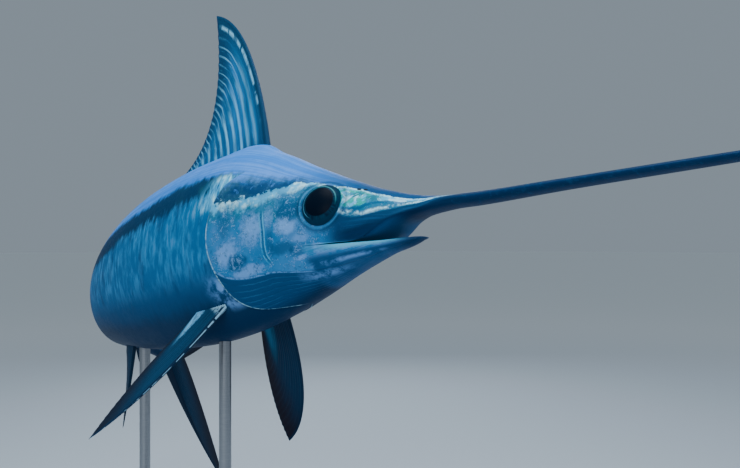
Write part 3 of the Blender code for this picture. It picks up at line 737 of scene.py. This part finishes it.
def makeSkinFinish():
    finish = Finish("silverBlueSkin", skinLook)
    look = finish.look
    finish.set("Specular IOR Level", look["specular"])
    along, turnShare = finish.ownMap("bodyMap")[1:]
    turn = turnShare * 180.0
    place = finish.objectPlace()

    def field(name):
        return finish.node("ShaderNodeAttribute", {"attribute_name": name}, {}, "Fac")

    def stretched(alongScale, turnScale, detail=3.0, roughness=0.5, seed=0.0):
        spot = finish.node("ShaderNodeCombineXYZ", {}, {0: along * alongScale, 1: turn * turnScale, 2: seed})
        return noise(spot, 1.0, detail, roughness)

    def line(name, low=30, high=100):
        return lineOf(along, look[name], low, high)

    def awayFrom(spotAlong, spotTurn, long, wide):      # 1 on the edge of an oval spot
        across, around = (along - spotAlong) * (1 / long), (turn - spotTurn) * (1 / wide)
        return across * across + around * around

    behindGill, belowLip = field("behindGill"), field("belowLip")
    fromEye, insideMouth = field("fromEye"), field("insideMouth")
    streaks = stretched(150.0, 0.07, 5.0, 0.6)            # feathery, down the flank
    broad = stretched(42.0, 0.05, 3.0, 0.5, 3.1)
    lengthwise = stretched(9.0, 0.45, 4.0, 0.6, 7.7)      # along the back
    clouds = noise(place, 9.0, 7.0, 0.62, 0.5)
    blotches = noise(place, 17.0, 5.0, 0.62, 0.6)
    clouded = noise(place, 26.0, 5.0, 0.65)
    scribbles = noise(place, 46.0, 5.0, 0.7, 1.6)
    speckles = noise(place, 120.0, 4.0, 0.65)
    fine = noise(place, 420.0, 2.0, 0.6)
    mottle = speckles * 0.45 + scribbles * 0.55
    ragged = (streaks - 0.5) * 22.0 + (broad - 0.5) * 14.0
    headRagged = (noise(place, 60.0, 5.0, 0.7) - 0.5) * 18.0 + (streaks - 0.5) * 8.0

    # Trunk: violet back, dark ragged band, streaked flank, and a lower flank and belly darkened with painted
    # shade
    back = blend("back", above(lengthwise * 0.7 + clouded * 0.3, 0.38, 0.64) * 0.8, "backLight")
    lowTurn = turn + ragged * 0.5
    flank = layered(
        "flank",
        (above(streaks * 0.65 + broad * 0.35, 0.44, 0.62) * 0.8, "flankLight"),
        (above(stretched(60.0, 0.035, 4.0, 0.55, 12.0), 0.52, 0.70) * 0.75, "flankDark"),
        # painted shade: the flank darkens toward the belly
        (above(lowTurn, 102, 126), "lowFlank"),
        (above(lowTurn, 122, 142), "belly"))
    band = blend("band", above(0.30 - along, -0.05, 0.08) * above(blotches, 0.4, 0.6), "bandOlive")
    bandTop, bandLow = line("backToBand"), line("bandToFlank")
    fringe = 1.0 - above(behindGill + (streaks - 0.5) * 0.04, 0.012, 0.050)      # behind the gill cover's top
    fringe = fringe * between(turn + ragged * 0.25, 51, 76, 3.0)
    pale = (1.0 - above(behindGill, 0.006, 0.040)) * between(turn, 118, 142, 6.0)
    trunk = layered(
        back,
        (above(turn + ragged * 0.55, bandTop - 3.0, bandTop + 3.5), band),
        (above(turn + ragged * 0.8, bandLow - 3.0, bandLow + 4.0), flank),
        (fringe * above(streaks, 0.34, 0.55), "stripe"),
        (fringe * above(streaks, 0.50, 0.66), "stripeLight"),
        (pale * above(clouded, 0.40, 0.58) * 0.9, "cheekLight"))

    # Cheek with its clouds, and the folded throat under it
    cheek = layered(
        "cheekGreen",
        (above(turn + (clouded - 0.5) * 40.0, 76, 94), "cheek"),
        (above(clouds, 0.38, 0.70) * 0.34, "cheekLight"))
    for spotAlong, spotTurn, long, wide, strength in look["cheekClouds"]:
        reach = awayFrom(spotAlong, spotTurn, long, wide) + (clouded - 0.5) * 3.6 + (mottle - 0.5) * 5.0
        cheek = blend(cheek, (1.0 - above(reach, 0.1, 1.9)) * abs(strength),
                      "cheekLight" if strength > 0 else "cheekDark")
    cheek = layered(
        cheek,
        (above(mottle, 0.50, 0.62) * above(clouded, 0.36, 0.56) * 0.62, "cheekDark"),
        (above(scribbles * 0.6 + fine * 0.4, 0.53, 0.62) * 0.36, "fleck"))
    fold = turn - line("cheekFold", 90, 180)
    folds = stroke(zigzag(fold + (speckles - 0.5) * 2.0, 2.4), 0.0, 0.9)
    foldArea = above(fold, 1.0, 5.0) * (1.0 - above(fold, 26.0, 40.0)) * above(along, 0.06, 0.13)
    # painted shade: the throat darkens toward its underside
    throat = layered(
        "lowFlank",
        (folds * foldArea * above(blotches, 0.36, 0.60) * 0.20, "flankLight"),
        (above(turn, 150, 172), "belly"))
    foldLight = stroke(fold + (speckles - 0.5) * 2.5, 0.0, 1.1) * above(speckles, 0.36, 0.54)
    head = layered(cheek, (above(fold, -1.5, 1.5), throat), (foldLight * 0.75, "cheekLight"))

    # Crown, and the bright stripe from the gill cover to the eye
    patch = layered(
        "band",
        (above(clouded, 0.40, 0.62) * 0.85, "bandOlive"),
        (above(scribbles, 0.54, 0.68) * 0.5, "backLight"),
        (above(along, 0.18, 0.10) * 0.4, "backFront"))
    stripeTop, stripeLow = line("stripeTop"), line("stripeLow")
    crownEdge = stripeTop - 4.0 - above(along, 0.12, 0.20) * 9.0
    crownEdge = above(turn + headRagged * 0.9, crownEdge - 9.0, crownEdge + 5.0)
    crown = layered(
        back,
        (above(0.115 - along, -0.05, 0.06), "backFront"),
        (crownEdge * above(along, 0.112, 0.140) * 0.9, patch))
    stripe = layered(
        "stripe",
        (above(clouded * 0.6 + speckles * 0.4, 0.45, 0.58), "stripeLight"),
        (above(blotches, 0.46, 0.62) * 0.45, head))
    rearHead = layered(
        crown,
        (above(turn + headRagged * 0.8, stripeTop - 0.5, stripeTop + 0.8), stripe),
        (above(turn + headRagged * 1.1, stripeLow - 1.5, stripeLow + 4.5), head))

    # Snout: green patch ahead of the eye, pale branch under it, dark side
    patchTop, patchLow, branch = line("patchTop"), line("patchLow"), line("branch")
    patchTurn = turn + headRagged * 0.6
    branchLight = stroke(turn + headRagged * 0.7, branch, 5.5)
    snout = layered(
        head,
        (above(turn, branch + 1.0, branch + 8.0) * 0.92 * (1.0 - above(along, 0.080, 0.105)), "snoutSide"),
        (stroke(turn + headRagged * 0.5, patchLow + 5.0, 5.0) * above(along, 0.015, 0.045) * 0.8,
         "cheekDark"),
        (above(lengthwise, 0.50, 0.62) * above(turn, branch + 6.0, branch + 12.0)
         * (1.0 - above(along, 0.060, 0.085)) * 0.20, "cheek"),
        (branchLight * above(speckles * 0.5 + clouded * 0.5, 0.40, 0.56) * 0.9, "stripeLight"))
    green = above(along, 0.030, 0.050) * above(speckles + (blotches - 0.5) * 0.8, 0.38, 0.58)
    topLight = stroke(turn + headRagged * 0.5, patchTop + 2.0, 4.0)
    gem = layered(
        "stripe",
        (green, "green"),
        (topLight * above(speckles, 0.36, 0.52), "stripeLight"),
        (above(clouded, 0.50, 0.64) * 0.7, "cheekDark"),
        (above(scribbles, 0.52, 0.64) * 0.8, "stripeLight"))
    frontHead = layered(
        crown,
        (above(patchTurn, patchTop - 0.8, patchTop + 0.8), gem),
        (above(patchTurn, patchLow - 1.0, patchLow + 1.4), snout))

    # Dark band under the snout, and the bill
    snoutBand = line("snoutBand", 30, 110)
    dark = above(turn + headRagged * 0.3, snoutBand - 3.0, snoutBand + 8.0)
    dark = dark * (1.0 - above(along, 0.070, 0.095))
    dark = dark * (1.0 - above(belowLip, -6.0, -2.0) * above(along, -0.001, 0.001))
    # painted highlight: the top of the bill is lighter than its sides and underside
    bill = layered(
        "billTop",
        (above(turn, 16, 38), "bill"),
        (stroke(turn, 84, 22) * 0.6, "billLow"),
        (above(speckles, 0.52, 0.70) * 0.25, "billTop"))

    # Lower jaw: light lip, mottled side, and its lower side darkened with painted shade
    onJaw = above(belowLip, -3.0, -1.0) * above(along, -0.002, 0.001) * (1.0 - above(along, 0.118, 0.130))
    uneven = (clouded - 0.5) * 12.0 + (lengthwise - 0.5) * 10.0
    lip = stroke(belowLip + (speckles - 0.5) * 4.0, 2.0, 8.0) * above(along, 0.008, 0.045)
    streak = stroke(belowLip + uneven * 0.5, 23.0, 6.0) * above(clouded, 0.40, 0.58)
    jaw = layered(
        "cheek",
        (above(clouded * 0.6 + lengthwise * 0.4, 0.42, 0.60), "cheekLight"),
        # painted shade on the jaw's lower side
        (above(belowLip + uneven, 8.0, 16.0) * 0.9, "lowFlank"),
        (streak * above(along, 0.03, 0.06) * 0.8, "cheekLight"),
        ((1.0 - above(along, 0.010, 0.050)) * 0.85, "bill"),
        (lip * (1.0 - above(along, 0.084, 0.112) * 0.8), "lip"))
    underJaw = stroke(fold, 7.0, 10.0) * stroke(along, 0.112, 0.040)

    # All of it, then what lies round the eye, the fold inside the cheek, the gill cover's edge and the mouth
    rearOfEye = above(along, 0.128, 0.150) * above(speckles, 0.36, 0.52)
    inner = lineOf(turn, look["innerCheek"], 0.15, 0.19) + (streaks - 0.5) * 0.001
    innerArea = between(turn + headRagged * 0.5, 80, 117, 4.0)
    innerLight = innerArea * above(speckles, 0.30, 0.50)
    gillLight = stroke(behindGill, -0.0010, 0.0016) * between(turn, 84, 174, 6.0)
    # painted shadow: a dark line just behind the cover's free edge
    gillShadow = stroke(behindGill, 0.0016, 0.0022) * above(turn, 56, 70)
    # painted shade: the nostril pits as dark spots
    nostrils = [1.0 - above(awayFrom(*spot, *look["nostrilReach"]), 0.5, 1.1) for spot in look["nostrils"]]
    # painted shade: the mouth darkens deep inside
    roof = blend("palate", above(insideMouth, 0.55, 1.0) * above(along, 0.040, 0.080), "mouth")
    colour = layered(
        frontHead,
        (above(along, 0.098, 0.108), rearHead),
        (dark, blend("bill", above(lengthwise, 0.50, 0.70) * 0.35, "billLow")),
        (1.0 - above(along + (speckles - 0.5) * 0.02, -0.050, -0.016), bill),
        (onJaw, jaw),
        (underJaw * above(clouded * 0.5 + mottle * 0.5, 0.46, 0.58) * 0.75, "cheekLight"),
        ((1.0 - above(fromEye, 0.0395, 0.0430)) * 0.85, "band"),
        (stroke(fromEye + (speckles - 0.5) * 0.002, 0.0450, 0.0026) * 0.45, "flankLight"),
        (stroke(fromEye, 0.0452, 0.0022) * rearOfEye * 0.7, "stripe"),
        (stroke(fromEye + (speckles - 0.5) * 0.006, 0.0495, 0.0070) * 0.55, "band"),
        (stroke(along, inner, 0.0034) * innerArea * 0.55, "cheekDark"),
        (stroke(along, inner - 0.0022, 0.0015) * innerLight * 0.9, "stripe"),
        (stroke(along, inner + 0.0024, 0.0015) * innerLight * 0.7, "stripe"),
        (above(behindGill, -0.0004, 0.0004), trunk),
        (gillLight * above(speckles * 0.5 + clouded * 0.5, 0.42, 0.58) * 0.7, "stripeLight"),
        (gillShadow * 0.65, "band"),
        *((where, "mouth") for where in nostrils),
        (insideMouth, roof))
    finish.set("Base Color", colour)
    # painted light: a faint blue glow deep in the mouth, so its shaded inside is not black
    finish.set("Emission Color", blend("noGlow", insideMouth, "mouthGlow"))
    finish.set("Emission Strength", 1.0)

    finish.set("Roughness", 0.50 + (speckles - 0.5) * 0.24 + (blotches - 0.5) * 0.20)
    bright = above(turn, 48, 70) * (1.0 - above(turn, 104, 130)) * above(along, -0.03, 0.0)
    finish.set("Metallic", bright * (0.16 + (streaks - 0.5) * 0.5))
    height = speckles * 0.4 + fine * 0.25 + streaks * 0.5 * above(behindGill, 0.0, 0.01)
    onHead = 1.0 - above(behindGill, -0.002, 0.0)
    height = height - stroke(fold, 0.0, 1.6) * onHead * 1.4 - folds * foldArea * onHead * 0.8
    height = height - stroke(along, inner, 0.0020) * innerArea * 1.4
    height = height - stroke(fromEye, 0.0500, 0.0020) * 0.8
    finish.set("Normal", bumpNormal(height, 0.0009, 0.8))
    return finish


skinFinish = makeSkinFinish()
skinFinish.wear(bodySkin)
print("skin coloured")


# Fins: membrane, rays and edges, drawn over the fin's own map from front to rear and root to tip
finLooks = {
    "dorsal": {"membrane": (30, 92, 132), "front": (8, 60, 88), "root": (12, 68, 98), "tip": (10, 62, 92),
               "ray": (140, 200, 232), "rayStrength": 1.0, "rayFrom": 0.06, "rays": 12,
               "frontWidth": 0.06, "edge": (6, 58, 88), "edgeStrength": 0.8, "violet": (92, 142, 200),
               "glint": (150, 204, 232)},
    "pectoralRight": {"membrane": (3, 48, 72), "front": (4, 40, 64), "root": (5, 60, 92), "tip": (18, 24, 38),
                      "ray": (60, 120, 160), "rayStrength": 0.18, "rayFrom": 0.0, "rays": 18,
                      "frontWidth": 0.02, "frontLine": (170, 212, 234), "plume": (132, 184, 222)},
    "pectoralLeft": {"membrane": (3, 44, 68), "front": (4, 40, 62), "root": (4, 52, 80), "tip": (26, 24, 36),
                     "ray": (30, 90, 120), "rayStrength": 0.10, "rayFrom": 0.0, "rays": 9,
                     "frontWidth": 0.02, "edge": (6, 40, 60), "edgeStrength": 0.5,
                     "rearStrip": (22, 116, 150)},
    "tail": {"membrane": (5, 40, 62), "front": (4, 32, 52), "root": (6, 50, 78), "tip": (24, 26, 38),
             "ray": (26, 74, 104), "rayStrength": 0.35, "rayFrom": 0.0, "rays": 22,
             "frontWidth": 0.05, "edge": (4, 28, 44), "edgeStrength": 0.6},
    "anal": {"membrane": (5, 44, 68), "front": (4, 36, 56), "root": (5, 52, 80), "tip": (20, 28, 42),
             "ray": (26, 80, 110), "rayStrength": 0.35, "rayFrom": 0.0, "rays": 16,
             "frontWidth": 0.05, "edge": (4, 30, 46), "edgeStrength": 0.6},
}


def makeFinFinish(name, kind, smallRays=0):
    finish = Finish(name, finLooks[kind])
    look = finish.look
    rays, rayStrength, frontWidth = smallRays or look["rays"], look["rayStrength"], look["frontWidth"]
    back, out = finish.ownMap("finMap")[1:]

    def stretched(backScale, outScale, detail=3.0, seed=0.0):
        spot = finish.node("ShaderNodeCombineXYZ", {}, {0: back * backScale, 1: out * outScale, 2: seed})
        return noise(spot, 1.0, detail, 0.55)

    along = stretched(rays, 2.2, 4.0)
    fine = stretched(rays * 5.0, 5.0, 4.0, 4.0)
    speckles = noise(finish.objectPlace(), 90.0, 4.0, 0.6)
    wobble = back * rays + (stretched(7.0, 3.0, 2.0, 9.0) - 0.5) * 0.5
    ray = above(zigzag(wobble + 0.5, 0.5) * 2.0 + (along - 0.5) * 0.9, 0.70, 0.0)
    parting = above(out, 0.40, 0.75)
    branches = above(zigzag(wobble * 2.0 + 0.5, 0.5) * 2.0, 0.45, 0.0)
    ray = ray * (1.0 - parting) + branches * parting * 0.7
    shown = above(back, look["rayFrom"], look["rayFrom"] + 0.10) * above(out, 0.02, 0.10)
    shown = shown * (1.0 - above(out, 0.80, 1.0) * 0.6) * above(along, 0.32, 0.58)
    behindFront = above(back + (along - 0.5) * 0.05, frontWidth * 0.5, frontWidth * 1.6)
    colour = layered(
        "membrane",
        (above(along, 0.50, 0.68) * 0.5, "root"),
        (above(out + (along - 0.5) * 0.3, 0.55, 0.95), "tip"),
        (1.0 - above(out + (along - 0.5) * 0.1, 0.0, 0.16), "root"),
        (ray * shown * rayStrength, "ray"),
        (above(fine, 0.56, 0.74) * shown * rayStrength * 0.35, "ray"),
        (1.0 - behindFront, "front"))
    if "edge" in look:
        rim = above(back, 0.955, 0.995)
        rim = rim.math("MAXIMUM", rim, above(out, 0.965, 1.0))
        colour = blend(colour, rim * look["edgeStrength"], "edge")
    if "glint" in look:      # violet middle, and a light line close behind the leading edge
        middle = between(back + (along - 0.5) * 0.1, 0.14, 0.42, 0.06) * between(out, 0.1, 0.75, 0.1)
        glint = stroke(back + (fine - 0.5) * 0.02, 0.050, 0.020) * above(out, 0.12, 0.30)
        glint = glint * above(stretched(2.0, 12.0, 3.0, 5.0) + out * 0.14, 0.48, 0.58)
        colour = layered(
            colour,
            (middle * above(along, 0.40, 0.60) * 0.45, "violet"),
            (glint * (1.0 - above(out, 0.90, 0.98)) * 0.9, "glint"))
    if "plume" in look:      # painted highlight: feathery, along the hind side near the root, and a spot on the root's knuckle
        barbs = stretched(16.0, 40.0, 3.0, 6.0)
        plume = above(back + (barbs - 0.5) * 0.3, 0.52, 0.66) * above(out, 0.10, 0.15)
        plume = plume * (1.0 - above(out + (barbs - 0.5) * 0.1, 0.40, 0.66))
        knuckleHighlight = (1.0 - above(out, 0.075, 0.11)) * above(speckles, 0.40, 0.56)
        colour = layered(
            colour,
            (plume * above(fine, 0.30, 0.54), "plume"),
            (knuckleHighlight * 0.8, "frontLine"))
    # painted highlight: a broken bright line along the lit leading edge
    if "frontLine" in look:
        line = 1.0 - above(back - (1.0 - above(out, 0.08, 0.24)) * 0.003, 0.0010, 0.0030)
        broken = above(stretched(0.0, 22.0, 3.0, 2.0) + (1.0 - out) * 0.16, 0.54, 0.60)
        colour = blend(colour, line * broken, "frontLine")
    # painted highlight: a blue-green strip on the lit hind side near the root
    if "rearStrip" in look:
        strip = above(back + (along - 0.5) * 0.2, 0.50, 0.78) * (1.0 - above(out, 0.45, 0.75))
        colour = blend(colour, strip * 0.9, "rearStrip")
    finish.set("Base Color", colour)
    finish.set("Roughness", 0.52 + (speckles - 0.5) * 0.2 - ray * 0.06)
    finish.set("Specular IOR Level", 0.12)
    finish.set("Normal", bumpNormal(ray * rayStrength * 0.7 + fine * 0.4 + speckles * 0.3, 0.0009, 0.8))
    return finish


makeFinFinish("dorsalMembrane", "dorsal").wear(dorsalFin)
makeFinFinish("pectoralRightMembrane", "pectoralRight").wear(pectoralRight)
makeFinFinish("pectoralLeftMembrane", "pectoralLeft").wear(pectoralLeft)
makeFinFinish("tailMembrane", "tail").wear(tailUpper, tailLower)
makeFinFinish("analMembrane", "anal").wear(analFin)
makeFinFinish("smallMembrane", "anal", 6).wear(smallDorsal, smallAnal)
print("fins coloured")


eyeLook = {      # reaches are shares of the eye's radius
    "pupil": (1, 14, 26), "iris": (3, 32, 50), "irisLight": (8, 50, 70), "ring": (6, 40, 56),
    # upper is a painted highlight, an arc on the upper front of the eye
    "rim": (120, 170, 196), "outer": (6, 46, 66), "upper": (84, 140, 150),
    "pupilReach": 0.70, "irisReach": (0.80, 0.86), "rimReach": 0.81, "upperHighlightReach": 0.78,
}


def makeEyeFinish():
    finish = Finish("wetEye", eyeLook)
    look = finish.look
    uv, ahead, down = finish.ownMap("eyeMap")
    radius = finish.node("ShaderNodeVectorMath", {"operation": "LENGTH"}, {0: uv}, "Value")
    angle = down.math("ARCTAN2", down, ahead)
    spot = finish.node("ShaderNodeCombineXYZ", {}, {0: angle * 9.0, 1: radius * 2.0})
    spokes = noise(spot, 1.0, 4.0, 0.6)
    pupil = look["pupilReach"]
    behind = above(ahead * -1.0 + down * 0.1, 0.25, 0.70)
    upper = above(down * -1.0 + ahead * 0.3, 0.10, 0.75)
    finish.set("Base Color", layered(
        "iris",
        (above(spokes, 0.42, 0.66), "irisLight"),
        (above(radius, pupil, pupil - 0.04), "pupil"),
        (stroke(radius, pupil, 0.02) * 0.35, "ring"),
        (above(radius + (spokes - 0.5) * 0.05, *look["irisReach"]), "outer"),
        (stroke(radius + (spokes - 0.5) * 0.02, look["rimReach"], 0.022) * behind * 0.95, "rim"),
        # painted highlight on the upper front of the eye
        (stroke(radius, look["upperHighlightReach"], 0.045) * upper * 0.8, "upper")))
    finish.set("Roughness", 0.40)
    finish.set("Specular IOR Level", 0.03)
    return finish


makeEyeFinish().wear(eyeballRight, eyeballLeft)
print("eyes coloured")


# Stand: the CAD base and rods keep their shape and take a better finish
standLooks = {
    "base": {"lacquer": (34, 36, 40), "lacquerLight": (58, 60, 64), "grain": (2.0, 26.0, 26.0)},
    "rod": {"steel": (0.22, 0.23, 0.25, 1.0), "steelLight": (0.38, 0.39, 0.41, 1.0),
            "grain": (40.0, 40.0, 900.0)},
}


def makeBaseFinish():
    finish = Finish("charcoalLacquer", standLooks["base"])
    place = finish.objectPlace()
    long = finish.node("ShaderNodeMapping", {}, {"Vector": place, "Scale": finish.look["grain"]})
    grain = noise(long, 3.0, 6.0, 0.62, 0.35)
    dust = noise(place, 180.0, 3.0, 0.6)
    finish.set("Base Color", blend("lacquer", above(grain, 0.40, 0.62), "lacquerLight"))
    finish.set("Roughness", 0.42 + (grain - 0.5) * 0.3 + (dust - 0.5) * 0.15)
    finish.set("Normal", bumpNormal(grain * 0.8 + dust * 0.2, 0.0006, 0.6))
    return finish.material


def makeRodFinish():
    finish = Finish("brushedSteel", standLooks["rod"])
    place = finish.objectPlace()
    rings = finish.node("ShaderNodeMapping", {}, {"Vector": place, "Scale": finish.look["grain"]})
    brush = noise(rings, 1.0, 4.0, 0.6)
    finish.set("Base Color", blend("steel", brush, "steelLight"))
    finish.set("Metallic", 1.0)
    finish.set("Roughness", 0.36 + (brush - 0.5) * 0.24)
    finish.set("Normal", bumpNormal(brush, 0.0002, 0.4))
    return finish.material


baseMaterial, rodMaterial = makeBaseFinish(), makeRodFinish()
for node, material in (("stand_base", baseMaterial), ("stand_rod_front", rodMaterial),
                       ("stand_rod_rear", rodMaterial)):
    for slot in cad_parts[node].material_slots:
        slot.material = material
print("stand finished")


# Floor, light and camera, in metres and watts
studio = {
    "floorRadius": 45.0,
    "floor": (0.52, 0.61, 0.70, 1.0),
    # The far floor is as light as the room
    "noGlow": (0.0, 0.0, 0.0, 1.0), "farGlow": (0.110, 0.112, 0.100, 1.0), "glowFrom": (1.2, 7.5),
    "room": (0.68, 0.82, 0.96, 1.0), "roomStrength": 0.34,
    "lights": (      # name, place, aim, width, power
        ("overheadSoft", (0.3, -0.5, 3.6), (0.0, -0.1, 0.9), 2.6, 105),
        ("frontSoft", (1.4, -3.6, 2.4), (0.1, -0.3, 1.0), 2.4, 70),
        ("rearSoft", (-2.6, 2.6, 2.4), (-0.2, 0.0, 1.0), 2.0, 30),
    ),
    "cameraPlace": (1.2671, -1.5045, 0.9896), "cameraAim": (-0.6534, 0.757, 0.0),      # aim as a direction
    "lens": 38.92, "sensor": 36.0,      # millimetres
}


def addToScene(name, data, place, direction):
    thing = bpy.data.objects.new(name, data)
    bpy.context.scene.collection.objects.link(thing)
    thing.location = place
    thing.rotation_euler = direction.to_track_quat("-Z", "Y").to_euler()
    return thing


def makeFloor():
    deselectAll()
    bpy.ops.mesh.primitive_circle_add(vertices=64, radius=studio["floorRadius"], fill_type="NGON",
                                      location=(0, 0, -0.001))
    floor = bpy.context.object
    floor.name = "studioFloor"
    finish = Finish("paleFloor", studio)
    place = finish.objectPlace()
    distance = finish.node("ShaderNodeVectorMath", {"operation": "LENGTH"}, {0: place}, "Value")
    finish.set("Base Color", studio["floor"])
    finish.set("Emission Color", blend("noGlow", above(distance, *studio["glowFrom"]), "farGlow"))
    finish.set("Emission Strength", 1.0)
    finish.set("Roughness", 0.8)
    finish.set("Specular IOR Level", 0.1)
    finish.wear(floor)


def makeLight(name, place, aim, size, power):
    lamp = bpy.data.lights.new(name, "AREA")
    lamp.shape = "DISK"
    lamp.size = size
    lamp.energy = power
    addToScene(name, lamp, place, Vector(aim) - Vector(place))


def makeRoom():
    world = bpy.data.worlds.new("softRoom")
    world.use_nodes = True
    background = world.node_tree.nodes["Background"]
    background.inputs["Color"].default_value = studio["room"]
    background.inputs["Strength"].default_value = studio["roomStrength"]
    bpy.context.scene.world = world


def makeCamera():
    camera = bpy.data.cameras.new("photoCamera")
    camera.sensor_width = studio["sensor"]
    camera.lens = studio["lens"]
    thing = addToScene("photoCamera", camera, studio["cameraPlace"], Vector(studio["cameraAim"]))
    bpy.context.scene.camera = thing


makeFloor()
for light in studio["lights"]:
    makeLight(*light)
makeRoom()
makeCamera()
print("light and camera placed")
